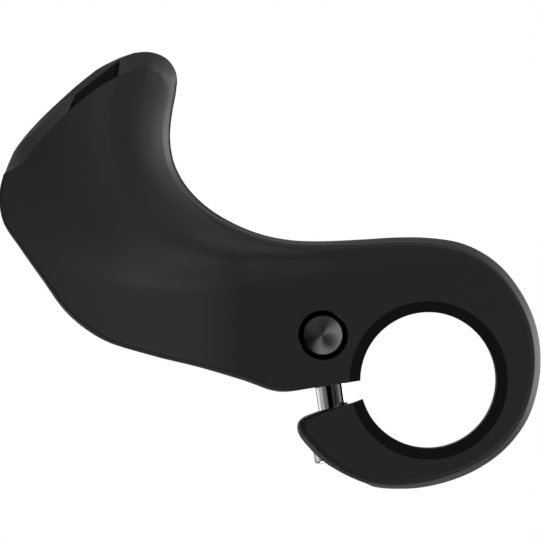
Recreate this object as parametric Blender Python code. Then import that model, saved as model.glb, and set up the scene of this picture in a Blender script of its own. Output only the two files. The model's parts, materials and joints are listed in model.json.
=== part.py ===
"""An inner bar end for a 22.2 mm handlebar: a moulded horn with a split clamp, its liner,
a cross-drilled barrel nut, and the socket-head bolt and washer that close the clamp.

The bar runs along Y through the origin. The horn reaches to -X and +Z.
"""

import math

import bmesh
import bpy
import numpy as np
from mathutils import Matrix, Vector

MM = 0.001

# Clamp and liner
BAR_DIAMETER = 22.2
LINER_WALL = 1.8
LINER_FIT = 0.15
LINER_SET_BACK = 0.1
LINER_END_SETBACK = 0.25
CLAMP_WIDTH = 12.0
SLIT_UPPER_ANGLE = 181.4
SLIT_LOWER_ANGLE = -163.0

# Ring, station by station: angle of the outside point, angle of the liner seat point that
# it faces, and how far the outside lies from the seat
RING = (
    (102, 158, 10.9),
    (90, 134, 10.3),
    (75, 110, 10.05),
    (60, 86, 9.3),
    (45, 62, 8.1),
    (28, 38, 6.9),
    (11, 16, 5.8),
    (-5, -5, 5.0),
    (-22, -24, 4.5),
    (-42, -44, 3.95),
    (-62, -64, 3.7),
    (-83, -85, 4.1),
    (-102, -106, 5.25),
    (-119, -127, 6.85),
    (-134, -147, 8.2),
)
JAW_ROOT = (-145, 9.15)

# Edges of horn and arm as (x from the left of the liner seat, z from the bar's centre).
# The two lists are paired: each thumb-side point faces the palm-side point of its rank.
THUMB_SIDE = (
    (-28.10, 48.60),
    (-28.78, 44.40),
    (-29.26, 40.00),
    (-28.75, 36.00),
    (-26.80, 32.00),
    (-23.60, 28.60),
    (-18.60, 25.48),
    (-14.00, 23.72),
    (-9.80, 22.90),
    (-6.60, 22.68),
    (-3.60, 22.68),
    (-0.60, 22.80),
    (2.60, 22.97),
)
PALM_SIDE = (
    (-56.28, 33.70),
    (-57.00, 30.00),
    (-56.25, 25.50),
    (-53.90, 21.90),
    (-49.90, 16.20),
    (-46.00, 10.90),
    (-40.80, 6.90),
    (-32.80, 4.15),
    (-24.10, 1.97),
    (-17.00, -0.15),
    (-11.60, -1.90),
    (-5.80, -1.26),
)

# The slanted end between the two: its outline, then the crease of the face beside it
END_OUTLINE = (
    (-28.25, 50.20),
    (-29.90, 52.60),
    (-32.80, 53.62),
    (-37.30, 52.72),
    (-37.62, 52.58),
    (-41.30, 50.66),
    (-44.80, 47.85),
    (-45.35, 47.36),
    (-48.10, 44.85),
    (-52.30, 40.58),
    (-54.90, 37.00),
)
END_CREASE = (
    (-29.60, 49.35),
    (-31.20, 50.20),
    (-33.20, 50.72),
    (-37.60, 49.50),
    (-37.92, 49.34),
    (-41.60, 47.10),
    (-45.20, 44.20),
    (-45.69, 43.80),
    (-48.30, 41.10),
    (-51.40, 37.60),
    (-53.40, 35.00),
)

# Jaw below the slit
JAW_OUTSIDE = ((-6.47, -11.13), (-7.70, -9.70))
NOSE = ((-8.20, -8.89), (-8.49, -7.91), (-8.27, -6.81), (-7.61, -6.13))
JAW_INSIDE = ((-3.00, -4.50), (-6.80, -5.72))

# Edges by station: how far the crease lies inside the outline, and the fillet's radius
OUTSIDE_EDGE = (
    (0, 0.80, 0.0),
    (2, 1.05, 0.0),
    (4, 1.00, 0.0),
    (5, 0.80, 0.3),
    (6, 0.60, 0.8),
    (9, 0.60, 0.9),
    (13, 0.80, 0.7),
    (16, 0.95, 0.5),
    (23, 0.95, 0.5),
    (26, 0.50, 0.9),
    (28, 0.25, 1.3),
    (30, 0.15, 1.3),
)
INSIDE_EDGE = (
    (0, 0.15, 0.4),
    (1, 0.10, 0.4),
    (3, 0.10, 0.6),
    (6, 0.10, 0.9),
    (9, 0.15, 1.0),
    (10, 0.15, 0.8),
    (11, 0.05, 0.3),
    (12, 0.0, 0.0),
    (28, 0.0, 0.0),
    (29, 0.05, 0.9),
    (30, 0.15, 1.3),
)

# Face of the horn by station: distance from the thumb side to the crest, slope where the
# face meets the crease, and the height and width of the step down from the crest
FACE = (
    (0, 13.0, 50.0, 0.5, 16.0),
    (3, 10.0, 50.0, 0.8, 15.0),
    (5, 7.8, 44.0, 1.2, 12.0),
    (7, 4.2, 27.0, 0.8, 7.0),
    (8, 2.4, 20.0, 0.45, 5.0),
    (10, 1.3, 12.0, 0.18, 3.2),
    (12, 1.2, 9.0, 0.12, 2.6),
    (14, 1.0, 8.0, 0.08, 2.4),
    (16, 0.4, 8.0, 0.0, 2.4),
)

# Horn
# The horn widens towards its end: gently at first, then at its steepest, then less and less
FLARE = 5.0
FLARE_START = -18.5
FLARE_LENGTH = 35.0
FLARE_ENTRY = 4.0
FLARE_POWER = 1.6
END_REACH = 5.0
# The slanted end has a ridge at this height from the middle. It is straight but for a slight
# bow outwards, given as a share of its length and a distance.
END_RIDGE = ((-54.50, 37.35), (-37.84, 51.89))
END_RIDGE_BOW = ((0.0, 0.0), (0.07, 0.28), (0.25, 0.56), (0.5, 0.46), (0.73, 0.38), (1.0, 0.0))
END_RIDGE_HEIGHT = 4.5
END_RIDGE_RUNOUT = 0.25
# Recess in the slanted end's near side, from its crease as far as the ridge. It is full
# between two ranks of the outline above, counted from the thumb side, and fades by the next.
RECESS_RANKS = (4, 5, 7, 8)
HALF_WAY = 0.5
# Raised line along the middle of the thumb side, by station
PARTING_HEIGHT = 1.2
PARTING_STEP = ((0, 0.30), (3, 0.40), (6, 0.25), (9, 0.0), (31, 0.0))

# Barrel nut, bolt and washer
NUT_WALL = 1.81
NUT_ANGLE = 156.8
NUT_DIAMETER = 7.6
NUT_NOSE_DIAMETER = 6.5
NUT_NOSE_LENGTH = 1.4
NUT_FIT = 0.2
NUT_HOLE_CHAMFER = 0.12
NUT_SET_BACK = 0.3
THREAD_FIT = 0.15
BOLT_TILT = 8.0
BOLT_DIAMETER = 4.85
BOLT_LENGTH = 20.0
BOLT_HOLE_FIT = 0.32
BOLT_HOLE_RELIEF = 2.5
HEAD_DIAMETER = 8.4
HEAD_HEIGHT = 3.5
HEAD_FIT = 0.3
HEAD_CHAMFER = 0.4
TIP_CHAMFER = 0.6
SOCKET_FLATS = 4.0
SOCKET_DEPTH = 2.0
WASHER_DIAMETER = 8.4
WASHER_HOLE_FIT = 0.2
WASHER_THICKNESS = 0.8
WASHER_SEAT = 16.2
SEAT_GAP = 0.12

# Fineness
END_STEPS = (2, 2, 2, 2, 1, 2, 1, 1, 1, 2, 2, 1)
NOSE_STEPS = (4, 4, 4, 4, 3)
ACROSS_CROWDING = 1.3
SPAN_LENGTH = 2.3
FILLET_STEPS = 4
ROUND_SIDES = 48
SHARP_ANGLE = 35.0
WELD = 0.001

SEAT_RADIUS = BAR_DIAMETER / 2 + LINER_WALL
HALF_WIDTH = CLAMP_WIDTH / 2
JAW_START = len(THUMB_SIDE) + len(RING)
ACROSS = sum(END_STEPS)

NUT_HOLE_RADIUS = NUT_DIAMETER / 2 + NUT_FIT
NUT_REACH = SEAT_RADIUS + NUT_WALL + NUT_HOLE_RADIUS
NUT_TURN = math.radians(NUT_ANGLE)
NUT_PLACE = (NUT_REACH * math.cos(NUT_TURN), NUT_REACH * math.sin(NUT_TURN))
TILT = math.radians(BOLT_TILT)
WASHER_CENTRE = WASHER_SEAT + SEAT_GAP + WASHER_THICKNESS / 2
HEAD_SEAT = WASHER_CENTRE + WASHER_THICKNESS / 2 + SEAT_GAP
BOLT_WAY = Vector((math.sin(TILT), 0, -math.cos(TILT)))


def clear_scene():
    for old in list(bpy.data.objects):
        bpy.data.objects.remove(old, do_unlink=True)


def material(name, colour, roughness, metallic):
    made = bpy.data.materials.new(name)
    made.use_nodes = True
    shader = made.node_tree.nodes["Principled BSDF"]
    shader.inputs["Base Color"].default_value = (*colour, 1.0)
    shader.inputs["Roughness"].default_value = roughness
    shader.inputs["Metallic"].default_value = metallic
    return made


def polar(degrees, radius):
    turn = math.radians(degrees)
    return np.array([radius * math.cos(turn), radius * math.sin(turn)])


def from_seat(points):
    """Points given from the liner seat's left side, moved to the bar's centre."""
    return [np.array([x - SEAT_RADIUS, z]) for x, z in points]


def smooth_step(value):
    held = np.clip(value, 0.0, 1.0)
    return held * held * (3.0 - 2.0 * held)


def keyed(table, station, column):
    """A value from a table of (station, values...), on a curve that never overshoots a row."""
    rows = np.array([row[0] for row in table], float)
    values = np.array([row[column] for row in table], float)
    gaps = np.diff(rows)
    slopes = np.diff(values) / gaps
    leans = np.zeros(len(rows))
    for at in range(1, len(rows) - 1):
        before, after = slopes[at - 1 : at + 1]
        if before * after > 0.0:
            leans[at] = (gaps[at - 1] + gaps[at]) / (gaps[at - 1] / before + gaps[at] / after)
    at = int(np.clip(np.searchsorted(rows, station, side="right") - 1, 0, len(rows) - 2))
    t = float(np.clip((station - rows[at]) / gaps[at], 0.0, 1.0))
    eased = values[at] + (values[at + 1] - values[at]) * smooth_step(t)
    lean = gaps[at] * t * (1.0 - t) * (leans[at] * (1.0 - t) - leans[at + 1] * t)
    return float(eased + lean)


def through(points, counts, before=None, after=None):
    """A smooth curve through the points, with its own number of steps in each span."""
    first = before if before is not None else 2 * points[0] - points[1]
    last = after if after is not None else 2 * points[-1] - points[-2]
    held = [first, *points, last]
    made = [points[0]]
    for span, count in enumerate(counts):
        a, b, c, d = held[span : span + 4]
        ab, bc, cd = (np.linalg.norm(q - p) for p, q in ((a, b), (b, c), (c, d)))
        leave = bc * ((b - a) * bc / ab + (c - b) * ab / bc) / (ab + bc)
        arrive = bc * ((c - b) * cd / bc + (d - c) * bc / cd) / (bc + cd)
        for step in range(1, count + 1):
            t = step / count
            made.append(
                b * (1 + 2 * t) * (1 - t) ** 2
                + leave * t * (1 - t) ** 2
                + c * t * t * (3 - 2 * t)
                - arrive * t * t * (1 - t)
            )
    return made


def across_shares():
    """How far each column lies across the part, closer together by the thumb side."""
    return (np.arange(ACROSS + 1) / ACROSS) ** ACROSS_CROWDING


def edge_curves():
    """The outside and inside edges, step by step, with the station of each step."""
    end = from_seat(END_OUTLINE)
    nose = from_seat(NOSE)
    ring = [polar(outer, SEAT_RADIUS + wall) for outer, _, wall in RING]
    jaw_root = polar(JAW_ROOT[0], SEAT_RADIUS + JAW_ROOT[1])
    outside = from_seat(THUMB_SIDE) + ring + [jaw_root] + from_seat(JAW_OUTSIDE)
    seat_angles = [SLIT_UPPER_ANGLE] + [seat for _, seat, _ in RING] + [SLIT_LOWER_ANGLE]
    seat = [polar(angle, SEAT_RADIUS) for angle in seat_angles]
    palm = from_seat(PALM_SIDE)
    inside = palm + seat + from_seat(JAW_INSIDE)

    counts = []
    for rank in range(len(outside) - 1):
        spans = (side[rank + 1] - side[rank] for side in (outside, inside))
        longest = max(np.linalg.norm(span) for span in spans)
        counts.append(max(2, math.ceil(longest / SPAN_LENGTH)))
    stations = [0.0]
    for rank, count in enumerate(counts):
        stations += [rank + step / count for step in range(1, count + 1)]

    outside_curve = through(outside, counts, before=end[0], after=nose[0])
    inside_curve = through(palm + seat[:1], counts[: len(palm)], before=end[-1])
    for rank, (leave, arrive) in enumerate(zip(seat_angles, seat_angles[1:])):
        count = counts[len(palm) + rank]
        for step in range(1, count + 1):
            turn = leave + (arrive - leave) * step / count
            inside_curve.append(polar(turn, SEAT_RADIUS))
    jaw = through(seat[-1:] + from_seat(JAW_INSIDE), counts[JAW_START:], after=nose[-1])
    inside_curve += jaw[1:]
    return np.array(outside_curve), np.array(inside_curve), np.array(stations)


def closed_loop(outside, nose, inside, end):
    """One loop round the part: down the outside, round the nose and back up the inside."""
    return np.concatenate([outside, nose[1:-1], inside[::-1], end[1:-1][::-1]])


def opened(loop, steps):
    """The four runs that make up a closed loop: outside, nose, inside and end."""
    inside_start = steps + ACROSS - 1
    inside_stop = inside_start + steps
    outside = loop[:steps]
    nose = loop[steps - 1 : inside_start + 1]
    inside = loop[inside_start:inside_stop][::-1]
    end = np.concatenate([loop[inside_stop - 1 :], loop[:1]])[::-1]
    return outside, nose, inside, end


def inward(loop):
    """The direction into the part at each point of the loop, which runs clockwise."""
    ahead = np.roll(loop, -1, axis=0) - loop
    behind = loop - np.roll(loop, 1, axis=0)
    ahead /= np.linalg.norm(ahead, axis=1)[:, None]
    behind /= np.linalg.norm(behind, axis=1)[:, None]
    along = ahead + behind
    along /= np.linalg.norm(along, axis=1)[:, None]
    return np.stack([along[:, 1], -along[:, 0]], axis=1)


def round_values(stations, column):
    """Crease inset (column 1) or fillet radius (column 2) round the closed loop."""
    outside = np.array([keyed(OUTSIDE_EDGE, station, column) for station in stations])
    inside = np.array([keyed(INSIDE_EDGE, station, column) for station in stations])
    nose = np.linspace(outside[-1], inside[-1], ACROSS + 1)
    return closed_loop(outside, nose, inside, np.zeros(ACROSS + 1))


def beyond_ridge(loop):
    """How far each point of the loop stands beyond the ridge of the slanted end."""
    palm, tip = from_seat(END_RIDGE)
    length = np.linalg.norm(tip - palm)
    along = (tip - palm) / length
    share = (loop - palm) @ along / length
    bow = np.interp(share, *np.array(END_RIDGE_BOW).T)
    return (loop - palm) @ np.array([-along[1], along[0]]) - bow


def face_height(place, from_thumb_side, station):
    """How far the face stands from the middle of the part."""
    out = max(FLARE_START - SEAT_RADIUS - place[0], 0.0)
    out = min(out**2 / (out + FLARE_ENTRY) / FLARE_LENGTH, 1.0)
    flare = FLARE * (1.0 - (1.0 - out) ** FLARE_POWER)
    crest, slope, step, width = (keyed(FACE, station, column) for column in range(1, 5))
    fall = smooth_step((from_thumb_side - crest) / width)
    height = HALF_WIDTH + flare + step * (1.0 - float(fall))
    if from_thumb_side < crest:
        radius = crest / math.sin(math.radians(slope))
        height -= radius - math.sqrt(radius**2 - (crest - from_thumb_side) ** 2)
    return height


def face_grid(edge, stations):
    """Places and heights of the face in rows across the part, from the end to the nose."""
    outside, nose, inside, end = opened(edge, len(stations))
    shares = across_shares()[:, None]
    end_bow = end - (outside[0] + shares * (inside[0] - outside[0]))
    nose_bow = nose - (outside[-1] + shares * (inside[-1] - outside[-1]))
    places, heights = [], []
    for step, station in enumerate(stations):
        row = outside[step] + shares * (inside[step] - outside[step])
        row = row + end_bow * (1.0 - smooth_step(station / END_REACH))
        row = row + nose_bow * smooth_step(station - (stations[-1] - 1.0))
        places.append(row)
        reach = np.linalg.norm(row - row[0], axis=1)
        heights.append([face_height(*held, station) for held in zip(row, reach)])
    return np.array(places), np.array(heights)


def recess_shares(count):
    """How far the recess is cut at each point of the closed loop, from 0 to 1."""
    ranks = [0.0]
    for rank, steps in enumerate(END_STEPS):
        ranks += [rank + step / steps for step in range(1, steps + 1)]
    end = np.interp(ranks, RECESS_RANKS, (0.0, 1.0, 1.0, 0.0))
    shares = np.zeros(count)
    shares[count - ACROSS + 1 :] = end[1:-1][::-1]
    return shares


def wall_rows(loop, edge, height, stations, recess):
    """Rows round the part, from the edge of its face to the raised line in its middle."""
    towards = inward(loop)
    fillet = round_values(stations, 2)
    rows = []
    for step in range(FILLET_STEPS + 1):
        turn = math.pi / 2 * step / FILLET_STEPS
        drawn_out = (fillet * math.sin(turn))[:, None]
        rows.append((edge - towards * drawn_out, height - fillet * (1.0 - math.cos(turn))))

    steps = len(stations)
    parting = np.zeros(len(loop))
    parting[:steps] = [keyed(PARTING_STEP, station, 1) for station in stations]
    foot = loop + towards * parting[:, None]
    half_line = np.full(len(loop), PARTING_HEIGHT / 2)

    ridge = np.zeros(len(loop))
    end_start = 2 * steps + ACROSS - 1
    ridge[end_start:] = np.maximum(beyond_ridge(loop[end_start:]), 0.0)
    raised = smooth_step(ridge / END_RIDGE_RUNOUT)
    ridge_depth = half_line + (END_RIDGE_HEIGHT - half_line) * raised
    at_ridge = foot + towards * ridge[:, None]
    on_end = np.arange(len(loop)) >= end_start
    out_share = np.where(on_end, HALF_WAY * (1.0 + recess), 0.0)[:, None]
    down_share = np.where(on_end, HALF_WAY * (1.0 + recess), 1.0)
    shelf_depth = height + (ridge_depth - height) * down_share
    rows.append((at_ridge + (edge - at_ridge) * out_share, shelf_depth))
    rows.append((at_ridge, ridge_depth))
    rows.append((foot, half_line))
    rows.append((loop, half_line))
    return rows


def point(place, depth):
    return Vector((place[0] * MM, depth * MM, place[1] * MM))


def sheet(bm, rows, closed):
    """A sheet drawn out row by row from its first row of points."""
    line = [bm.verts.new(place) for place in rows[0]]
    pairs = list(zip(line, line[1:]))
    if closed:
        pairs.append((line[-1], line[0]))
    edges = [bm.edges.new(pair) for pair in pairs]
    for row in rows[1:]:
        drawn = bmesh.ops.extrude_edge_only(bm, edges=edges)["geom"]
        fresh = {held for held in drawn if isinstance(held, bmesh.types.BMVert)}
        following = []
        for vert, place in zip(line, row):
            partners = (edge.other_vert(vert) for edge in vert.link_edges)
            partner = next(other for other in partners if other in fresh)
            partner.co = place
            following.append(partner)
        edges = [
            held
            for held in drawn
            if isinstance(held, bmesh.types.BMEdge) and set(held.verts) <= fresh
        ]
        line = following


def finished(bm, name, made_of, location=(0.0, 0.0, 0.0)):
    """The named object of a mesh, smooth where its faces meet at a low angle."""
    bmesh.ops.remove_doubles(bm, verts=bm.verts, dist=WELD * MM)
    bmesh.ops.recalc_face_normals(bm, faces=bm.faces)
    mesh = bpy.data.meshes.new(name)
    bm.to_mesh(mesh)
    bm.free()
    mesh.materials.append(made_of)
    mesh.shade_smooth()
    mesh.set_sharp_from_angle(angle=math.radians(SHARP_ANGLE))
    made = bpy.data.objects.new(name, mesh)
    made.location = location
    bpy.context.collection.objects.link(made)
    return made


def cut(body, cutter):
    """Cuts one hidden shape out of a body."""
    cutter.hide_render = True
    cutter.display_type = "WIRE"
    modifier = body.modifiers.new(cutter.name, "BOOLEAN")
    modifier.operation = "DIFFERENCE"
    modifier.solver = "EXACT"
    modifier.object = cutter


def rod(name, radius, top, bottom, made_of, sides=None):
    """A closed round bar along its own Z, from top to bottom."""
    bm = bmesh.new()
    bmesh.ops.create_cone(
        bm,
        cap_ends=True,
        segments=sides or ROUND_SIDES,
        radius1=radius * MM,
        radius2=radius * MM,
        depth=(top - bottom) * MM,
        matrix=Matrix.Translation((0, 0, (top + bottom) / 2 * MM)),
    )
    return finished(bm, name, made_of)


def turned(name, profile, made_of):
    """A piece turned about its own Z from a profile of (radius, height), top to bottom."""
    bm = bmesh.new()
    line = [bm.verts.new((radius * MM, 0, height * MM)) for radius, height in profile]
    edges = [bm.edges.new(pair) for pair in zip(line, line[1:])]
    if profile[0][0] > 0:
        edges.append(bm.edges.new((line[-1], line[0])))
    bmesh.ops.spin(
        bm,
        geom=line + edges,
        cent=(0, 0, 0),
        axis=(0, 0, 1),
        angle=2 * math.pi,
        steps=ROUND_SIDES,
        use_merge=True,
    )
    return finished(bm, name, made_of)


def on_bolt_axis(piece, along):
    """Sets a piece down on the bolt's axis, so far from the nut's centre."""
    piece.location = point(NUT_PLACE, 0) + MM * along * BOLT_WAY
    piece.rotation_euler = (0, -TILT, 0)
    return piece


def across_nut(piece):
    """Sets a piece down on the nut's axis, which lies along the bar."""
    piece.location = point(NUT_PLACE, 0)
    piece.rotation_euler = (math.pi / 2, 0, 0)
    return piece


def horn_shape(made_of):
    outside, inside, stations = edge_curves()
    end_points = [outside[0], *from_seat(END_OUTLINE), inside[0]]
    end = np.array(through(end_points, END_STEPS, before=outside[1], after=inside[1]))
    nose_points = [outside[-1], *from_seat(NOSE), inside[-1]]
    nose = np.array(through(nose_points, NOSE_STEPS, before=outside[-2], after=inside[-2]))
    loop = closed_loop(outside, nose, inside, end)

    inset = round_values(stations, 1) + round_values(stations, 2)
    edge = loop + inward(loop) * inset[:, None]
    near_outside, near_nose, near_inside, _ = opened(edge, len(stations))
    crease_points = [near_outside[0], *from_seat(END_CREASE), near_inside[0]]
    crease = np.array(through(crease_points, END_STEPS, after=near_inside[1]))
    edge = closed_loop(near_outside, near_nose, near_inside, crease)

    places, heights = face_grid(edge, stations)
    edge_height = closed_loop(heights[:, 0], heights[-1], heights[:, -1], heights[0])
    recess = recess_shares(len(loop))
    near_wall = wall_rows(loop, edge, edge_height, stations, recess)
    far_wall = wall_rows(loop, edge, edge_height, stations, 0.0 * recess)

    bm = bmesh.new()
    for side in (-1, 1):
        rows = [
            [point(place, side * height) for place, height in zip(*row)]
            for row in zip(places, heights)
        ]
        sheet(bm, rows, closed=False)
    round_rows = [(row, -depth) for row, depth in near_wall] + far_wall[::-1]
    rows = [[point(place, depth) for place, depth in zip(*row)] for row in round_rows]
    sheet(bm, rows, closed=True)
    return finished(bm, "horn_body", made_of)


def make_body(made_of):
    body = horn_shape(made_of)
    bevel = NUT_HOLE_RADIUS + HALF_WIDTH + NUT_HOLE_CHAMFER
    near_half = [(0, CLAMP_WIDTH), (bevel, CLAMP_WIDTH)]
    near_half.append((NUT_HOLE_RADIUS, HALF_WIDTH - NUT_HOLE_CHAMFER))
    profile = near_half + [(radius, -height) for radius, height in near_half[::-1]]
    cut(body, across_nut(turned("nut_hole_cutter", profile, made_of)))
    shank = BOLT_DIAMETER / 2 + BOLT_HOLE_FIT
    top = NUT_HOLE_RADIUS + BOLT_HOLE_RELIEF
    bolt_hole = rod("bolt_hole_cutter", shank, top, -HEAD_SEAT, made_of)
    cut(body, on_bolt_axis(bolt_hole, 0))
    pocket = HEAD_DIAMETER / 2 + HEAD_FIT
    head_pocket = rod("head_pocket_cutter", pocket, 0, -SEAT_RADIUS, made_of)
    cut(body, on_bolt_axis(head_pocket, WASHER_SEAT))
    return body


def make_liner(made_of):
    """The split sleeve between bar and clamp."""
    set_back = math.degrees(LINER_END_SETBACK / SEAT_RADIUS)
    start = SLIT_UPPER_ANGLE - set_back
    stop = SLIT_LOWER_ANGLE + set_back
    steps = round(ROUND_SIDES * 1.5 * (start - stop) / 360)
    depth = HALF_WIDTH - LINER_SET_BACK
    radii = (BAR_DIAMETER / 2, SEAT_RADIUS - LINER_FIT)
    section = [(radii[0], -depth), (radii[1], -depth), (radii[1], depth), (radii[0], depth)]
    rows = []
    for step in range(steps + 1):
        turn = start + (stop - start) * step / steps
        rows.append([point(polar(turn, radius), depth) for radius, depth in section])
    bm = bmesh.new()
    sheet(bm, rows, closed=True)
    bmesh.ops.holes_fill(bm, edges=bm.edges, sides=4)
    return finished(bm, "clamp_liner", made_of)


def make_nut(made_of):
    half = HALF_WIDTH - NUT_SET_BACK
    shoulder = half - NUT_NOSE_LENGTH
    nose = NUT_NOSE_DIAMETER / 2
    body = NUT_DIAMETER / 2
    near_half = [(0, half), (nose, half), (nose, shoulder), (body, shoulder)]
    profile = near_half + [(radius, -height) for radius, height in near_half[::-1]]
    nut = across_nut(turned("barrel_nut", profile, made_of))
    thread = BOLT_DIAMETER / 2 + THREAD_FIT
    bore = rod("nut_thread_cutter", thread, NUT_DIAMETER, -NUT_DIAMETER, made_of)
    cut(nut, on_bolt_axis(bore, 0))
    return nut


def make_washer(made_of):
    half = WASHER_THICKNESS / 2
    hole = BOLT_DIAMETER / 2 + WASHER_HOLE_FIT
    rim = WASHER_DIAMETER / 2
    profile = [(hole, half), (rim, half), (rim, -half), (hole, -half)]
    return on_bolt_axis(turned("clamp_washer", profile, made_of), WASHER_CENTRE)


def make_bolt(made_of):
    """The socket-head bolt, its origin where its head seats."""
    shank = BOLT_DIAMETER / 2
    head = HEAD_DIAMETER / 2
    profile = [
        (0, BOLT_LENGTH),
        (shank - TIP_CHAMFER, BOLT_LENGTH),
        (shank, BOLT_LENGTH - TIP_CHAMFER),
        (shank, 0),
        (head, 0),
        (head, HEAD_CHAMFER - HEAD_HEIGHT),
        (head - HEAD_CHAMFER, -HEAD_HEIGHT),
        (0, -HEAD_HEIGHT),
    ]
    bolt = on_bolt_axis(turned("clamp_bolt", profile, made_of), HEAD_SEAT)
    corner = SOCKET_FLATS / 2 / math.cos(math.pi / 6)
    below = HEAD_HEIGHT + HEAD_CHAMFER
    socket = rod("socket_cutter", corner, SOCKET_DEPTH - HEAD_HEIGHT, -below, made_of, sides=6)
    cut(bolt, on_bolt_axis(socket, HEAD_SEAT))
    return bolt


clear_scene()
black_plastic = material("black_plastic", (0.030, 0.030, 0.031), 0.42, 0.0)
liner_plastic = material("liner_plastic", (0.010, 0.010, 0.010), 0.55, 0.0)
bright_steel = material("bright_steel", (0.62, 0.62, 0.61), 0.25, 1.0)
zinc_steel = material("zinc_steel", (0.55, 0.55, 0.54), 0.32, 1.0)

make_body(black_plastic)
make_liner(liner_plastic)
make_nut(bright_steel)
make_washer(zinc_steel)
make_bolt(bright_steel)
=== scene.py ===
# %% [markdown]
# # A bicycle bar end, dressed for its photograph
#
# A bar end of this kind sits inside the grip of a flat handlebar. One moulding of black
# plastic is horn, arm and clamp; a thin liner lines the clamp, and a bolt pulls the split
# clamp shut against a round nut that lies across the arm. The solids come ready made from
# the CAD model. This script gives them a surface, a light and a camera.
#
# The frame is loaded first and its box is kept, because nothing made here may grow past it.

# %% Load the CAD frame
import json
import math

import bmesh
import bpy
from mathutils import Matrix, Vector

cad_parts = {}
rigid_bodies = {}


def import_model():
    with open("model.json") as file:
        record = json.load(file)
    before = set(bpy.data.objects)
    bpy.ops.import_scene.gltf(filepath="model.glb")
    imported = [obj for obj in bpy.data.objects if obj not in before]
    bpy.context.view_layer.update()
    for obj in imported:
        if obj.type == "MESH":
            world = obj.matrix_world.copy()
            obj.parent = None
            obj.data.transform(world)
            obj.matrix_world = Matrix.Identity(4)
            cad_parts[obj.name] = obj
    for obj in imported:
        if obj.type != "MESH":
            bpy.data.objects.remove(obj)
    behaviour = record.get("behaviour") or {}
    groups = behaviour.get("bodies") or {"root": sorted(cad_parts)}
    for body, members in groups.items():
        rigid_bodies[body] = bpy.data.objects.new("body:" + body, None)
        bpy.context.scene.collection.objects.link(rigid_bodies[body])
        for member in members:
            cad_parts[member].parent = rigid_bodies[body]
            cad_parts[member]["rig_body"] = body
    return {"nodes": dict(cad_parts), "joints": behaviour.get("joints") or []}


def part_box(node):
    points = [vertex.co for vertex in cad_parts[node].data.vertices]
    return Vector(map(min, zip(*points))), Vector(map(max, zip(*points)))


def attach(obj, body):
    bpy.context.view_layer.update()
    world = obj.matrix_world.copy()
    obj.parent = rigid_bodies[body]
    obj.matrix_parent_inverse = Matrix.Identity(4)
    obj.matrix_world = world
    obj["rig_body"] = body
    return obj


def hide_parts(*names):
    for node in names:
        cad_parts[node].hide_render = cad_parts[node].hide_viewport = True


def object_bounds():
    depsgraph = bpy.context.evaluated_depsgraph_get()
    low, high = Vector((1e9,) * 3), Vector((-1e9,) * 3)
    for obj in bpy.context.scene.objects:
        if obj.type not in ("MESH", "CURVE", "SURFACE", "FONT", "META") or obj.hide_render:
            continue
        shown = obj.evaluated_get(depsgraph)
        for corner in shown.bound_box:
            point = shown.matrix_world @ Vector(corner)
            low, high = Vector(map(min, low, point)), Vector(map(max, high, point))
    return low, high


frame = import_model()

MM = 0.001

cad_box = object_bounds()
joints = {joint["name"]: joint for joint in frame["joints"]}

# %% [markdown]
# ## Where the small parts sit
#
# The barrel nut's centre and the bolt's direction are read from the joints, so that every
# new piece lands on the axis that it turns about. They could be typed in as numbers, but
# then a change of the CAD model would leave them behind.

# %% Axes of the nut and the bolt
nut_place = Vector(joints["nut_swivel"]["pos_m"])
bolt_way = Vector(joints["bolt_turn"]["axis"]).normalized()
nut_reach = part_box("barrel_nut")[1].y
print("nut at", [round(c / MM, 2) for c in nut_place], "mm, its ends at", round(nut_reach / MM, 2))

# %% [markdown]
# ## Helpers for colours and shader nodes
#
# Colours are written as the hex values that a screen shows. Blender's shaders work in
# linear light, so one function converts them. A second function adds a shader node with
# its options and its inputs, whether an input is a plain value or a link. A third starts a
# material, and a fourth turns a grey pattern into small hills of a known height.


# %% Colour and node helpers
def linear(hex_colour):
    """A screen colour such as '#1c1c1d' as linear red, green, blue and alpha."""
    values = [int(hex_colour[place : place + 2], 16) / 255 for place in (1, 3, 5)]
    bent = [v / 12.92 if v <= 0.04045 else ((v + 0.055) / 1.055) ** 2.4 for v in values]
    return (*bent, 1.0)


def add(tree, kind, inputs=None, **options):
    """One node with its options set and its inputs filled or linked."""
    node = tree.nodes.new(kind)
    for option, value in options.items():
        setattr(node, option, value)
    for socket, value in (inputs or {}).items():
        if isinstance(value, bpy.types.NodeSocket):
            tree.links.new(value, node.inputs[socket])
        else:
            node.inputs[socket].default_value = value
    return node


def new_material(name, **sockets):
    """A material and its tree and shader, with plain values on the shader's sockets."""
    material = bpy.data.materials.new(name)
    material.use_nodes = True
    tree = material.node_tree
    shader = tree.nodes["Principled BSDF"]
    for socket, value in sockets.items():
        shader.inputs[socket.replace("_", " ")].default_value = value
    return material, tree, shader


def bumped(tree, shader, height, depth):
    """Raises the shader's surface by a height pattern, depth metres from 0 to 1."""
    bump = add(tree, "ShaderNodeBump", {"Height": height, "Distance": depth, "Strength": 1.0})
    tree.links.new(bump.outputs["Normal"], shader.inputs["Normal"])


print("black plastic in linear light:", [round(v, 4) for v in linear("#141415")[:3]])

# %% [markdown]
# ## Moulded nylon of the horn
#
# Glass-filled nylon comes out of a finely eroded mould with an even satin skin: no clear
# reflections, a soft sheen where the surface turns away, and a very fine pebble. The real
# pebble is some 0.05 mm across, less than a pixel here, so it is drawn at 0.35 mm and kept
# very shallow. A slow, faint change of roughness is what handling and flow in the mould
# leave. The nut's hole is reamed after moulding, so its wall and its thin chamfer are
# glossier than the skin. A second material on those few faces would do as well, but the
# distance from the nut's axis picks them out without touching the mesh.

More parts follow.
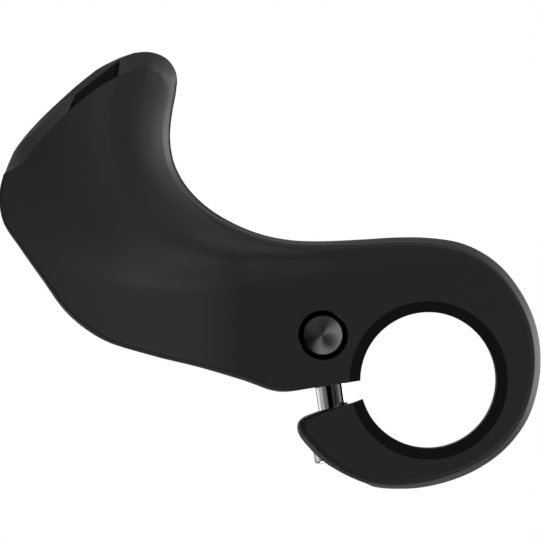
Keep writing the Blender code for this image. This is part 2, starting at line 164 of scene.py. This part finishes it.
# %% Satin black nylon
PEBBLE = 0.35 * MM
PEBBLE_DEPTH = 0.0012 * MM
FLOW_PATCH = 14 * MM
FLOW_RANGE = (0.3, 0.7)
SATIN = (0.47, 0.53)
REAMED_GLOSS = 0.12
NUT_HOLE = 8.16 / 2 * MM
REAMED_RIM = 0.01 * MM

nylon, tree, shader = new_material(
    "moulded_black_nylon", Base_Color=linear("#141415"), Roughness=0.5, IOR=1.5
)
place = add(tree, "ShaderNodeTexCoord").outputs["Object"]
pebble = add(
    tree, "ShaderNodeTexNoise", {"Vector": place, "Scale": 1 / PEBBLE, "Detail": 1.0}
)
bumped(tree, shader, pebble.outputs["Fac"], PEBBLE_DEPTH)
flow = add(
    tree, "ShaderNodeTexNoise", {"Vector": place, "Scale": 1 / FLOW_PATCH, "Detail": 2.0}
)
satin = add(
    tree,
    "ShaderNodeMapRange",
    {
        "Value": flow.outputs["Fac"],
        "From Min": FLOW_RANGE[0],
        "From Max": FLOW_RANGE[1],
        "To Min": SATIN[0],
        "To Max": SATIN[1],
    },
)
print("nylon pebble", PEBBLE / MM, "mm")

# %% Reamed wall and rim of the nut's hole
nut_offset = add(tree, "ShaderNodeVectorMath", {0: place, 1: nut_place}, operation="SUBTRACT")
on_face = add(
    tree, "ShaderNodeVectorMath", {0: nut_offset.outputs["Vector"], 1: (1, 0, 1)}, operation="MULTIPLY"
)
from_nut = add(tree, "ShaderNodeVectorMath", {0: on_face.outputs["Vector"]}, operation="LENGTH")
reamed = add(
    tree,
    "ShaderNodeMapRange",
    {
        "Value": from_nut.outputs["Value"],
        "From Min": NUT_HOLE,
        "From Max": NUT_HOLE + REAMED_RIM,
        "To Min": REAMED_GLOSS,
        "To Max": satin.outputs["Result"],
    },
)
tree.links.new(reamed.outputs["Result"], shader.inputs["Roughness"])
print("reamed out to", round((NUT_HOLE + REAMED_RIM) / MM, 2), "mm from the nut's axis")

# %% [markdown]
# ## Polymer of the liner
#
# The liner is a softer, unfilled polymer, so it is darker and duller than the horn. It is
# extruded or rolled, which leaves faint lines along the bar. A noise that is stretched
# along the bar draws them: a Mapping node shrinks that one direction before the noise.

# %% Matt liner polymer
DRAWN_LINE = 0.4 * MM
DRAWN_DEPTH = 0.002 * MM
STRETCH = 0.02

liner_finish, tree, shader = new_material(
    "matt_liner_polymer",
    Base_Color=linear("#0b0b0b"),
    Roughness=0.6,
    Specular_IOR_Level=0.15,
)
place = add(tree, "ShaderNodeTexCoord").outputs["Object"]
along_bar = add(tree, "ShaderNodeMapping", {"Vector": place, "Scale": (1.0, STRETCH, 1.0)})
lines = add(
    tree,
    "ShaderNodeTexNoise",
    {"Vector": along_bar.outputs["Vector"], "Scale": 1 / DRAWN_LINE, "Detail": 1.0},
)
bumped(tree, shader, lines.outputs["Fac"], DRAWN_DEPTH)
print("liner lines", DRAWN_LINE / MM, "mm apart")

# %% [markdown]
# ## Steel of the nut
#
# The nut's ends are faced on a lathe. The tool leaves fine rings round the centre, and
# rings spread a reflection along the radius, which gives the bright and dark fans that
# run from the centre. Real grooves in the mesh would need far too many faces, so
# anisotropy with a tangent round the nut's axis does the spreading, and rings in the bump
# break it up. The real rings are about 0.03 mm apart and are drawn at 0.16 mm. Behind its
# face the nut's colour is painted near black. This painted shade keeps the gap round the
# nose a deep black ring.

# %% Faced steel with rings round the nut's axis
TURNING_MARK = 0.16 * MM
TURNING_DEPTH = 0.0015 * MM
WAVES_PER_UNIT = 20 / math.tau

nut_steel, tree, shader = new_material(
    "faced_nut_steel", Metallic=1.0, Roughness=0.28, Anisotropic=0.85
)
round_axis = add(tree, "ShaderNodeTangent", direction_type="RADIAL", axis="Y")
tree.links.new(round_axis.outputs["Tangent"], shader.inputs["Tangent"])
place = add(tree, "ShaderNodeTexCoord").outputs["Object"]
centred = add(tree, "ShaderNodeMapping", {"Vector": place, "Location": -nut_place}).outputs["Vector"]
rings = add(
    tree,
    "ShaderNodeTexWave",
    {"Vector": centred, "Scale": 1 / (TURNING_MARK * WAVES_PER_UNIT), "Distortion": 0.0},
    wave_type="RINGS",
    rings_direction="Y",
)
bumped(tree, shader, rings.outputs["Fac"], TURNING_DEPTH)
print("turning marks", TURNING_MARK / MM, "mm apart")

# %% Painted shade behind the nut's face
PAINTED_SHADE_DEPTH = 0.4 * MM
# the painted shade has faded in at this share of that depth
PAINTED_SHADE_FADE = 0.8

along_bar = add(tree, "ShaderNodeSeparateXYZ", {"Vector": centred}).outputs["Y"]
from_middle = add(tree, "ShaderNodeMath", {0: along_bar}, operation="ABSOLUTE").outputs["Value"]
# 0 where the steel lies deeper than that behind the nut's end and takes the painted shade, 1 on the
# faced end
painted_shade_mask = add(
    tree,
    "ShaderNodeMapRange",
    {
        "Value": from_middle,
        "From Min": nut_reach - PAINTED_SHADE_DEPTH,
        "From Max": nut_reach - PAINTED_SHADE_FADE * PAINTED_SHADE_DEPTH,
    },
)
# a Mix node of colours has its two colours on inputs 6 and 7 and its result on output 2
painted_shade_coat = add(
    tree,
    "ShaderNodeMix",
    {0: painted_shade_mask.outputs["Result"]},
    data_type="RGBA",
)
# painted shade: a near-black colour on the steel behind the nose stands in for the shadow in the gap
# round it
painted_shade_coat.inputs[6].default_value = linear("#0a0a0a")
painted_shade_coat.inputs[7].default_value = linear("#787876")
tree.links.new(painted_shade_coat.outputs[2], shader.inputs["Base Color"])
# the printed depth is where the painted shade starts
print("black oxide starts", PAINTED_SHADE_DEPTH / MM, "mm behind the nut's end")

# %% [markdown]
# ## Steel of the bolt and washer
#
# The bolt is cold headed and its shank is rolled smooth, so it mirrors the room in soft
# vertical bands. Rubbing in its hole leaves it a little less glossy here and there. The
# washer is stamped sheet, duller and faintly uneven. Both keep the default IOR, because a
# metal's colour is in its base colour.

# %% Bright bolt steel and plain washer steel
RUB_MARK = 0.6 * MM
RUBBED = (0.1, 0.12)
SHEET_GRAIN = 0.5 * MM
SHEET_DEPTH = 0.002 * MM

bolt_steel, tree, shader = new_material(
    "bright_bolt_steel", Base_Color=linear("#dcdcda"), Metallic=1.0, Roughness=0.16
)
place = add(tree, "ShaderNodeTexCoord").outputs["Object"]
marks = add(
    tree, "ShaderNodeTexNoise", {"Vector": place, "Scale": 1 / RUB_MARK, "Detail": 3.0}
)
rubbed = add(
    tree,
    "ShaderNodeMapRange",
    {"Value": marks.outputs["Fac"], "To Min": RUBBED[0], "To Max": RUBBED[1]},
)
tree.links.new(rubbed.outputs["Result"], shader.inputs["Roughness"])

washer_steel, tree, shader = new_material(
    "stamped_washer_steel", Base_Color=linear("#b4b4b1"), Metallic=1.0, Roughness=0.34
)
place = add(tree, "ShaderNodeTexCoord").outputs["Object"]
dull = add(
    tree, "ShaderNodeTexNoise", {"Vector": place, "Scale": 1 / SHEET_GRAIN, "Detail": 2.0}
)
bumped(tree, shader, dull.outputs["Fac"], SHEET_DEPTH)
print("steels:", bolt_steel.name, washer_steel.name)

# %% [markdown]
# ## Putting a new piece on the CAD frame
#
# Every new mesh stands for one CAD node. Its object stays at the origin, since its place is
# in its mesh, and it rides on the node's body, so it moves with the node's joint.


# %% New piece in the place of a CAD node
def link(name, mesh, node_name, finish):
    """An object at the origin that rides on a CAD node's body and stands for the node."""
    mesh.materials.clear()
    mesh.materials.append(finish)
    piece = bpy.data.objects.new(name, mesh)
    bpy.context.scene.collection.objects.link(piece)
    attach(piece, frame["nodes"][node_name]["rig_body"])
    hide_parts(node_name)
    print(name, "has", len(mesh.polygons), "faces")


# %% [markdown]
# ## Merged copy of the horn
#
# Horn, arm, ring and jaw are one moulding. The CAD node arrives as loose flat triangles,
# which would show as facets. The horn could be modelled again under a subdivision surface,
# but its form should stay the CAD model's, so a merged copy of its mesh is dressed instead.

# %% Merged copy
WELD = 0.002 * MM

horn_mesh = bpy.data.meshes.new("horn_skin")
welded = bmesh.new()
welded.from_mesh(frame["nodes"]["horn_body"].data)
bmesh.ops.remove_doubles(welded, verts=welded.verts, dist=WELD)
welded.to_mesh(horn_mesh)
welded.free()
skin = bmesh.new()
skin.from_mesh(horn_mesh)
skin.normal_update()
print("horn copy has", len(skin.verts), "points")

# %% [markdown]
# ## Finer mould line
#
# Where the two halves of the mould meet, a low line runs along the middle of the thumb
# side. From the side it is the thin dark line outside the bright band. The CAD line looks
# coarser than the photograph's. A new mesh could carry a finer one, but its top is the
# horn's outline, so that stays and the plastic beside it comes up: each point at the
# line's foot moves towards the point on top.

# %% Lower mould line
MOULD_LINE = 1.2 / 2 * MM
MOULD_LINE_HEIGHT = 0.45 * MM
MOULD_LINE_KEPT = 0.45


def lowered_mould_line(work):
    """New places for the points at the foot of the raised line on the thumb side."""
    foot = {
        vert
        for vert in work.verts
        if abs(abs(vert.co.y) - MOULD_LINE) < WELD
        and any(abs(edge.other_vert(vert).co.y) > MOULD_LINE + WELD for edge in vert.link_edges)
    }
    places = {}
    for vert in foot:
        tops = [
            edge.other_vert(vert).co
            for edge in vert.link_edges
            if edge.other_vert(vert) not in foot
            and abs(edge.other_vert(vert).co.y - vert.co.y) < WELD
            and edge.calc_length() < MOULD_LINE_HEIGHT
        ]
        if tops:
            top = min(tops, key=lambda place: (place - vert.co).length)
            places[vert] = top.lerp(vert.co, MOULD_LINE_KEPT)
    return places


lowered = lowered_mould_line(skin)
for vert, place in lowered.items():
    vert.co = place
print("mould line lowered at", len(lowered), "points")

# %% [markdown]
# ## Easier start of the flare
#
# The horn is wider than the arm. The CAD horn starts to widen in a short bend, which would
# show as a line down its flank. The real one eases into it, so the first 20 mm of the
# widening are drawn in by up to 0.3 mm. A smoothing operator would soften the face's other
# edges too; scaling the width by a function of the place along the horn leaves them crisp.

# %% Softer flare
# the CAD horn's own widening, so that it can be taken out again
ARM_HALF = 6 * MM
FLARE = 5 * MM
FLARE_START = -31.4 * MM
FLARE_LENGTH = 35 * MM
FLARE_ENTRY = 4 * MM
FLARE_POWER = 1.6
# the new start, and how the CAD horn leans where the two meet
EASED_LENGTH = 20 * MM
EASED_LEAN = 0.151


def cad_flare(past_start):
    """How much wider a side of the CAD horn is than the arm, at a distance past the start."""
    share = past_start**2 / (past_start + FLARE_ENTRY) / FLARE_LENGTH
    return FLARE * (1 - (1 - share) ** FLARE_POWER)


def soft_flare(past_start):
    """The same, but starting without a lean and joining the CAD horn with the CAD's lean."""
    share = past_start / EASED_LENGTH
    rise = cad_flare(EASED_LENGTH) * share**2 * (3 - 2 * share)
    return rise + EASED_LEAN * EASED_LENGTH * share**2 * (share - 1)


for vert in skin.verts:
    past_start = FLARE_START - vert.co.x
    if 0 < past_start < EASED_LENGTH:
        vert.co.y *= (ARM_HALF + soft_flare(past_start)) / (ARM_HALF + cad_flare(past_start))
skin.normal_update()
print("flare eased over", round(EASED_LENGTH / MM), "mm")

# %% [markdown]
# ## Soft and crisp edges of the horn
#
# An edge is smooth where its two faces meet at a low angle, which brings back the soft
# turns. The horn's slanted end is different: its crease, its ridge and the recess between
# them turn by small angles and are crisp all the same, so an edge that runs along that end
# stays sharp from a much lower angle.

# %% Edges marked smooth or sharp
CREASE = math.radians(32)
END_CREASE = math.radians(11)
# an edge runs along the end if it crosses the width by less than this share of its length
LEVEL = 0.5
END_LINE = (Vector((-68.5, 33.5)) * MM, Vector((-41.8, 47.5)) * MM)
END_CORNER = -66.5 * MM


def beyond_end_line(place):
    """Metres by which a point lies on the outer side of the horn's slanted end."""
    along = (END_LINE[1] - END_LINE[0]).normalized()
    from_line = Vector((place.x, place.z)) - END_LINE[0]
    return along.x * from_line.y - along.y * from_line.x


for edge in skin.edges:
    start, stop = (vert.co for vert in edge.verts)
    runs_along = abs(stop.y - start.y) < LEVEL * (stop - start).length
    middle = (start + stop) / 2
    on_end = beyond_end_line(middle) > 0 and middle.x > END_CORNER
    limit = END_CREASE if on_end and runs_along else CREASE
    edge.smooth = edge.calc_face_angle(0.0) < limit
for face in skin.faces:
    face.smooth = True
for held in (skin.verts, skin.faces):
    held.index_update()
print("sharp edges:", sum(not edge.smooth for edge in skin.edges))

# %% [markdown]
# ## Normals of the horn
#
# Blender would average the normals of all faces at a point, and the flat sides would look
# swollen next to their rounded edges. So each point gets a normal for each group of faces
# that meet in smooth edges, and where a group holds exactly flat faces, theirs counts.


# %% Normals by groups of faces
# a side face is exactly flat if its normal points this far to the side
FLAT = 0.99998


def smooth_fans(work):
    """For each point, its faces in groups that meet in smooth edges, with one normal each."""
    fans = {}
    for vert in work.verts:
        left = set(vert.link_faces)
        while left:
            group = [left.pop()]
            for face in group:
                for edge in face.edges:
                    if vert in edge.verts and edge.smooth:
                        for other in edge.link_faces:
                            if other in left:
                                left.discard(other)
                                group.append(other)
            flat = [face for face in group if abs(face.normal.y) > FLAT]
            normal = Vector()
            for face in flat or group:
                corner = next(loop for loop in face.loops if loop.vert == vert)
                normal += face.normal * corner.calc_angle() * face.calc_area()
            for face in group:
                fans[vert.index, face.index] = normal.normalized()
    return fans


fans = smooth_fans(skin)
print("normals for", len(fans), "corners")

# %% [markdown]
# ## Rounder horn
#
# The outline is made of short straight edges. Splitting every edge once and moving its new
# point out onto the curve that the normals at its ends describe rounds the outline, and
# the points that are already there stay where they are. A subdivision surface would pull
# those in. No new point may leave the CAD model's box.


# %% Every face split once, onto the curve
def curved_middle(edge):
    """The middle of an edge, moved out as far as the normals at its ends say it bulges."""
    start, stop = edge.verts
    along = stop.co - start.co
    shift = Vector()
    for face in edge.link_faces:
        for vert, way in ((start, along), (stop, -along)):
            normal = fans[vert.index, face.index]
            # each end lifts the middle by an eighth of what the edge leans into its normal
            shift -= normal * way.dot(normal) / 8
    return (start.co + stop.co) / 2 + shift / len(edge.link_faces)


middles = {frozenset(vert.index for vert in edge.verts): curved_middle(edge) for edge in skin.edges}
first_points = len(skin.verts)
bmesh.ops.subdivide_edges(skin, edges=skin.edges[:], cuts=1, use_grid_fill=True)
for held in (skin.verts, skin.faces):
    held.index_update()
for vert in skin.verts:
    if vert.index >= first_points:
        others = (edge.other_vert(vert).index for edge in vert.link_edges)
        middle = middles[frozenset(index for index in others if index < first_points)]
        vert.co = [max(low, min(high, value)) for value, low, high in zip(middle, *cad_box)]
skin.normal_update()
print("horn has", len(skin.verts), "points, up from", first_points)

# %% Horn body
fans = smooth_fans(skin)
skin.to_mesh(horn_mesh)
skin.free()
horn_mesh.normals_split_custom_set(
    [fans[vert, face.index] for face in horn_mesh.polygons for vert in face.vertices]
)
link("horn_skin", horn_mesh, "horn_body", nylon)

# %% [markdown]
# ## Turned and drawn pieces
#
# Liner, nut, washer and bolt are made anew, rounder than the CAD model's and with the small
# edges that the eye expects. A spin would do for the nut and the washer, but not for a
# thread or a slanted slit, so one function serves all four. It draws a skin out row by row:
# each row is a ring of points, and the next row is extruded from it.

# %% Skin drawn out row by row
JOIN = WELD / 4


def drawn_skin(name, rows, round_again=False):
    """A closed skin over rings of points. Its ends are filled unless it comes round again."""
    work = bmesh.new()
    ring = [work.verts.new(place) for place in rows[0]]
    edges = [work.edges.new(pair) for pair in zip(ring, ring[1:] + ring[:1])]
    if not round_again:
        work.faces.new(ring)
    for row in rows[1:]:
        drawn = bmesh.ops.extrude_edge_only(work, edges=edges)["geom"]
        fresh = {held for held in drawn if isinstance(held, bmesh.types.BMVert)}
        following = []
        for vert, place in zip(ring, row):
            others = (edge.other_vert(vert) for edge in vert.link_edges)
            partner = next(other for other in others if other in fresh)
            partner.co = place
            following.append(partner)
        ring = following
        edges = [held for held in drawn if isinstance(held, bmesh.types.BMEdge)]
        edges = [edge for edge in edges if all(vert in fresh for vert in edge.verts)]
    if round_again:
        bmesh.ops.remove_doubles(work, verts=work.verts, dist=JOIN)
    else:
        work.faces.new(ring)
    bmesh.ops.recalc_face_normals(work, faces=work.faces)
    mesh = bpy.data.meshes.new(name)
    work.to_mesh(mesh)
    work.free()
    mesh.shade_smooth()
    mesh.set_sharp_from_angle(angle=CREASE)
    return mesh


def ring_of_points(centre, axis, radius, steps):
    """Points round an axis. The radius may be a number or a function of the turn."""
    turn_to = axis.to_track_quat("Z", "Y").to_matrix()
    points = []
    for step in range(steps):
        turn = math.tau * step / steps
        reach = radius(turn) if callable(radius) else radius
        points.append(centre + turn_to @ Vector((reach * math.cos(turn), reach * math.sin(turn), 0)))
    return points


print("a closed ring of rows joins up within", JOIN / MM, "mm")

# %% [markdown]
# ## Liner
#
# The liner is pressed into its seat, so no light comes between the two. Its inner edges
# have a small chamfer that helps it over the end of the handlebar. Its two ends carry on
# the lines of the slit, so they lean a little away from the radius.

# %% Section of the liner
BORE = 22.2 / 2 * MM
SEAT = 12.9 * MM
# the gap left between pieces that fit
HAIR = 0.01 * MM
LINER_CHAMFER = 0.2 * MM

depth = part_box("clamp_liner")[1].y
section = [
    (BORE, depth - LINER_CHAMFER),
    (BORE + LINER_CHAMFER, depth),
    (SEAT - HAIR, depth),
    (SEAT - HAIR, -depth),
    (BORE + LINER_CHAMFER, -depth),
    (BORE, LINER_CHAMFER - depth),
]
print("liner wall", round((SEAT - BORE) / MM, 2), "mm")

# %% Split liner
# degrees at the bore and at the seat
SLIT_LOWER = (-163.6, -163.0)
SLIT_UPPER = (180.2, 181.35)
LINER_STEPS = 140


def liner_turn(share, reach):
    """The turn of a point at a share of the way round, at its distance from the axis."""
    outwards = (reach - BORE) / (SEAT - BORE)
    lower = SLIT_LOWER[0] + (SLIT_LOWER[1] - SLIT_LOWER[0]) * outwards
    upper = SLIT_UPPER[0] + (SLIT_UPPER[1] - SLIT_UPPER[0]) * outwards
    return math.radians(lower + (upper - lower) * share)


liner_rows = []
for step in range(LINER_STEPS + 1):
    row = []
    for reach, along in section:
        turn = liner_turn(step / LINER_STEPS, reach)
        row.append(Vector((reach * math.cos(turn), along, reach * math.sin(turn))))
    liner_rows.append(row)
liner_mesh = drawn_skin("liner_sleeve", liner_rows)
link("liner_sleeve", liner_mesh, "clamp_liner", liner_finish)
print("liner opens over", round(360 + SLIT_LOWER[1] - SLIT_UPPER[1], 1), "degrees")

# %% [markdown]
# ## Barrel nut
#
# A round bar across the arm, with a thinner nose at each end. The nose's face is what
# shows, inside a deep dark ring where the hole in the arm is wider than the nose. The face
# is turned to a very slight dome. The bolt's hole goes through the middle. Its edge runs
# over a round wall and would be hard to draw out row by row, so a Boolean cuts it.

# %% Hole through a mesh
HOLE_SIDES = 48


def cut_through(mesh, centre, axis, radius, length):
    """The mesh with a round hole through it."""
    ends = [
        ring_of_points(centre + axis * end * length / 2, axis, radius, HOLE_SIDES)
        for end in (-1, 1)
    ]
    tool = bpy.data.objects.new("hole_tool", drawn_skin("hole_tool", ends))
    holder = bpy.data.objects.new("hole_holder", mesh)
    for held in (tool, holder):
        bpy.context.scene.collection.objects.link(held)
    hole = holder.modifiers.new("hole", "BOOLEAN")
    hole.object = tool
    hole.solver = "EXACT"
    done = bpy.data.meshes.new_from_object(
        holder.evaluated_get(bpy.context.evaluated_depsgraph_get())
    )
    for held in (tool, holder):
        bpy.data.objects.remove(held)
    return done


print("a cut hole has", HOLE_SIDES, "sides")

# %% Barrel nut
NUT_NOSE = 6.5 / 2 * MM
NUT_BARREL = 8.0 / 2 * MM - HAIR
NUT_SHOULDER_DEPTH = 3.2 * MM
NUT_EDGE = 0.12 * MM
NUT_DOME = 0.2 * MM
# where the dome has a ring of points, as shares of the nose
DOME_SHARES = (0.02, 0.25, 0.5, 0.75)
NUT_SIDES = 96
SHANK = 4.85 / 2 * MM
across = Vector((0, 1, 0))

nut_profile = [
    (NUT_NOSE * share, nut_reach - NUT_DOME * share**2) for share in DOME_SHARES
]
nut_profile += [
    (NUT_NOSE - NUT_EDGE, nut_reach - NUT_DOME),
    (NUT_NOSE, nut_reach - NUT_DOME - NUT_EDGE),
    (NUT_NOSE, nut_reach - NUT_SHOULDER_DEPTH),
    (NUT_BARREL, nut_reach - NUT_SHOULDER_DEPTH),
]
nut_profile += [(reach, -along) for reach, along in nut_profile[::-1]]
nut_rows = [
    ring_of_points(nut_place + across * along, across, reach, NUT_SIDES)
    for reach, along in nut_profile
]
nut_mesh = cut_through(drawn_skin("nut", nut_rows), nut_place, bolt_way, SHANK, 3 * NUT_BARREL)
link("nut_turned", nut_mesh, "barrel_nut", nut_steel)

# %% [markdown]
# ## Bolt
#
# An M5 bolt with a low socket head. Its thread is a true helix with a pitch of 0.8 mm. A
# screw modifier could wind one, but its run-out at the plain shank would need cleaning by
# hand, so the shank's points are moved in and out with turn and height instead. The part of
# the shank that crosses the slit is plain and bright.

# %% Sizes of the bolt
HEAD_HEIGHT = 3.5 * MM
HEAD_RADIUS = 8.4 / 2 * MM
HEAD_EDGE = 0.4 * MM
HEAD_FOOT_EDGE = 0.12 * MM
PITCH = 0.8 * MM
THREAD_DEPTH = 0.42 * MM
THREAD_LENGTH = 10.5 * MM
THREAD_STEEPNESS = 2.6
ROWS_PER_TURN = 8
SOCKET_FLATS = 4.0 * MM
SOCKET_DEPTH = 2.0 * MM
SOCKET_EDGE = 0.15 * MM
BOLT_SIDES = 48
# a rounded edge is drawn as two chamfers that meet at this share of its size
EDGE_BULGE = 0.3


def reaches_along_bolt(node_name):
    """The lowest and highest distance of a CAD node's points from the nut, along the bolt."""
    points = frame["nodes"][node_name].data.vertices
    reaches = [(vert.co - nut_place).dot(bolt_way) for vert in points]
    return min(reaches), max(reaches)


tip, head_end = reaches_along_bolt("clamp_bolt")
head_seat = head_end - HEAD_HEIGHT
print("bolt", round((head_end - tip) / MM, 1), "mm long")


# %% Bolt with a rolled thread
def thread_radius(height):
    """The shank's radius as a function of the turn, at a height above its tip."""

    def reach(turn):
        phase = (height / PITCH - turn / math.tau) % 1.0
        valley = min(1.0, THREAD_STEEPNESS * min(phase, 1.0 - phase))
        entry = min(1.0, height / PITCH)
        runout = min(1.0, max(0.0, (THREAD_LENGTH - height) / PITCH))
        return SHANK - THREAD_DEPTH * max((1.0 - valley) * runout, 1.0 - entry)

    return reach


def hexagon(flats):
    """The radius of a hexagonal socket as a function of the turn."""
    return lambda turn: flats / 2 / math.cos((turn + math.pi / 6) % (math.pi / 3) - math.pi / 6)


def bolt_ring(along, radius):
    """A ring of points round the bolt's axis, at a distance from the nut."""
    return ring_of_points(nut_place + bolt_way * along, bolt_way, radius, BOLT_SIDES)


thread_rows = round(THREAD_LENGTH / PITCH * ROWS_PER_TURN)
heights = [THREAD_LENGTH * row / thread_rows for row in range(thread_rows + 1)]
bolt_rows = [bolt_ring(tip + height, thread_radius(height)) for height in heights]
bolt_rows += [
    bolt_ring(head_seat, SHANK),
    bolt_ring(head_seat, HEAD_RADIUS - HEAD_FOOT_EDGE),
    bolt_ring(head_seat + HEAD_FOOT_EDGE, HEAD_RADIUS),
    bolt_ring(head_end - HEAD_EDGE, HEAD_RADIUS),
    bolt_ring(head_end - EDGE_BULGE * HEAD_EDGE, HEAD_RADIUS - EDGE_BULGE * HEAD_EDGE),
    bolt_ring(head_end, HEAD_RADIUS - HEAD_EDGE),
    bolt_ring(head_end, hexagon(SOCKET_FLATS + 2 * SOCKET_EDGE)),
    bolt_ring(head_end - SOCKET_EDGE, hexagon(SOCKET_FLATS)),
    bolt_ring(head_end - SOCKET_DEPTH, hexagon(SOCKET_FLATS)),
]
link("bolt_threaded", drawn_skin("bolt", bolt_rows), "clamp_bolt", bolt_steel)
print("thread of", round(THREAD_LENGTH / PITCH, 1), "turns")

# %% [markdown]
# ## Washer
#
# The washer is stamped sheet, with the rounded upper edge and sharp lower edge that a punch
# leaves. Its rows run round its section and come back to the first, so it closes on itself
# like a ring.

# %% Stamped washer
WASHER_RADIUS = 8.4 / 2 * MM
WASHER_HOLE = 5.25 / 2 * MM
WASHER_EDGE = 0.2 * MM
WASHER_SIDES = 64

top, bottom = reaches_along_bolt("clamp_washer")
washer_profile = [
    (WASHER_HOLE, top),
    (WASHER_RADIUS - WASHER_EDGE, top),
    (WASHER_RADIUS - EDGE_BULGE * WASHER_EDGE, top + EDGE_BULGE * WASHER_EDGE),
    (WASHER_RADIUS, top + WASHER_EDGE),
    (WASHER_RADIUS, bottom),
    (WASHER_HOLE, bottom),
    (WASHER_HOLE, top),
]
washer_rows = [
    ring_of_points(nut_place + bolt_way * along, bolt_way, reach, WASHER_SIDES)
    for reach, along in washer_profile
]
washer_mesh = drawn_skin("washer", washer_rows, round_again=True)
link("washer_stamped", washer_mesh, "clamp_washer", washer_steel)

# %% [markdown]
# ## Camera
#
# The photograph looks straight along the handlebar from far away, so a long lens stands
# 1.7 m off. A camera without perspective would come close, but a real lens stands
# somewhere. Aim and width are those at which the bore is 22.2 mm across in the frame.

# %% Camera along the bar
CAMERA_DISTANCE = 1.7
FRAME_WIDTH = 541 / 6.121 * MM
AIM = Vector((-25.74, 0, 17.9)) * MM
SENSOR = 36.0

lens = bpy.data.cameras.new("studio_camera")
lens.sensor_width = SENSOR
lens.lens = SENSOR * CAMERA_DISTANCE / FRAME_WIDTH
lens.clip_start = 0.05
camera = bpy.data.objects.new("studio_camera", lens)
camera.location = AIM - Vector((0, CAMERA_DISTANCE, 0))
camera.rotation_euler = (math.pi / 2, 0, 0)
bpy.context.scene.collection.objects.link(camera)
bpy.context.scene.camera = camera
print("lens", round(lens.lens), "mm at", CAMERA_DISTANCE, "m")

# %% [markdown]
# ## Floor
#
# The bar end hangs as its handlebar would hold it, well above a plain pale floor. Close to
# the object the floor would block the light that comes from below.

# %% Pale floor
FLOOR_DROP = 0.6
FLOOR_RADIUS = 0.5

floor_mesh = bpy.data.meshes.new("floor")
disc = bmesh.new()
bmesh.ops.create_circle(disc, cap_ends=True, radius=FLOOR_RADIUS, segments=64)
bmesh.ops.translate(disc, vec=(0, 0, -FLOOR_DROP), verts=disc.verts)
disc.to_mesh(floor_mesh)
disc.free()
floor = bpy.data.objects.new("floor", floor_mesh)
bpy.context.scene.collection.objects.link(floor)
floor_finish, tree, shader = new_material("pale_floor", Base_Color=linear("#f4f4f4"), Roughness=0.9)
floor_mesh.materials.append(floor_finish)
print("floor", FLOOR_DROP, "m below the bar's centre")

# %% [markdown]
# ## Studio
#
# The room is a photographer's tent: white behind the object, dark towards the camera, with
# soft round panels between. That is why the flat faces stay deep black while every edge
# that turns away picks up a light line. The strongest panels are low on the right in front,
# at the right side and low on the left, with weaker ones above.
#
# Area lamps could stand for the panels, but they would show up in other views of the
# object. Panels painted on the world are endlessly far away and light it evenly. The camera
# sees the tent's white wall wherever it looks, and the metal mirrors the tent as it is.

# %% Panels of the tent
# degrees off the camera's direction, degrees round it from the right, radius, strength
PANELS = (
    (25, 60, 22, 0.35),
    (50, 18, 22, 0.06),
    (50, 54, 22, 1.47),
    (50, 90, 22, 1.75),
    (50, 198, 22, 0.18),
    (75, 0, 22, 0.25),
    (75, 135, 22, 0.50),
    (75, 240, 22, 1.70),
    (75, 330, 22, 0.98),
    (100, 15, 22, 1.59),
    (100, 45, 22, 1.10),
    (100, 75, 22, 1.35),
    (100, 225, 22, 2.82),
    (125, 36, 22, 0.90),
    (125, 108, 22, 0.63),
    (125, 144, 22, 0.40),
    (125, 288, 22, 1.09),
    (25, 320, 14, 3.39),
    (35, 325, 14, 2.36),
    (110, 0, 18, 2.10),
    (128, 0, 18, 2.20),
    (148, 358, 18, 1.70),
    (110, 188, 20, 0.72),
    (130, 188, 20, 0.86),
    (80, 188, 18, 0.54),
)
# a panel has its full strength within this share of its radius
PANEL_CORE = 0.35
# cosines, from straight behind the object, at the white wall's edge and core
WALL = (0.88, 0.99)

world = bpy.data.worlds.new("studio")
bpy.context.scene.world = world
world.use_nodes = True
tree = world.node_tree
tree.nodes.clear()
direction = add(tree, "ShaderNodeTexCoord").outputs["Generated"]


def soft_patch(facing, edge, core, strength):
    """Light from round a direction, fading from the cosine at its core to that at its edge."""
    nearness = add(
        tree, "ShaderNodeVectorMath", {0: direction, 1: facing}, operation="DOT_PRODUCT"
    )
    patch = add(
        tree,
        "ShaderNodeMapRange",
        {"Value": nearness.outputs["Value"], "From Min": edge, "From Max": core, "To Max": strength},
        interpolation_type="SMOOTHSTEP",
    )
    return patch.outputs["Result"]


tent = soft_patch(Vector((0, 1, 0)), *WALL, 1.0)
for off_camera, round_camera, radius, strength in PANELS:
    tilt, roll = math.radians(off_camera), math.radians(round_camera)
    facing = Vector((math.sin(tilt) * math.cos(roll), -math.cos(tilt), math.sin(tilt) * math.sin(roll)))
    edge, core = (math.cos(math.radians(radius * share)) for share in (1, PANEL_CORE))
    panel = soft_patch(facing, edge, core, strength)
    tent = add(tree, "ShaderNodeMath", {0: tent, 1: panel}, operation="ADD").outputs["Value"]
print("tent of", len(PANELS), "panels and a white wall")

# %% World of the tent, white for the camera
rays = add(tree, "ShaderNodeLightPath")
# a Mix node of numbers has them on inputs 2 and 3
seen = add(
    tree,
    "ShaderNodeMix",
    {0: rays.outputs["Is Camera Ray"], 2: tent, 3: 1.0},
    data_type="FLOAT",
)
sky = add(tree, "ShaderNodeBackground", {"Color": (1, 1, 1, 1), "Strength": seen.outputs[0]})
add(tree, "ShaderNodeOutputWorld", {"Surface": sky.outputs["Background"]})
print("world has", len(tree.nodes), "nodes")

# %% Finish
bpy.context.scene.view_settings.view_transform = "Standard"
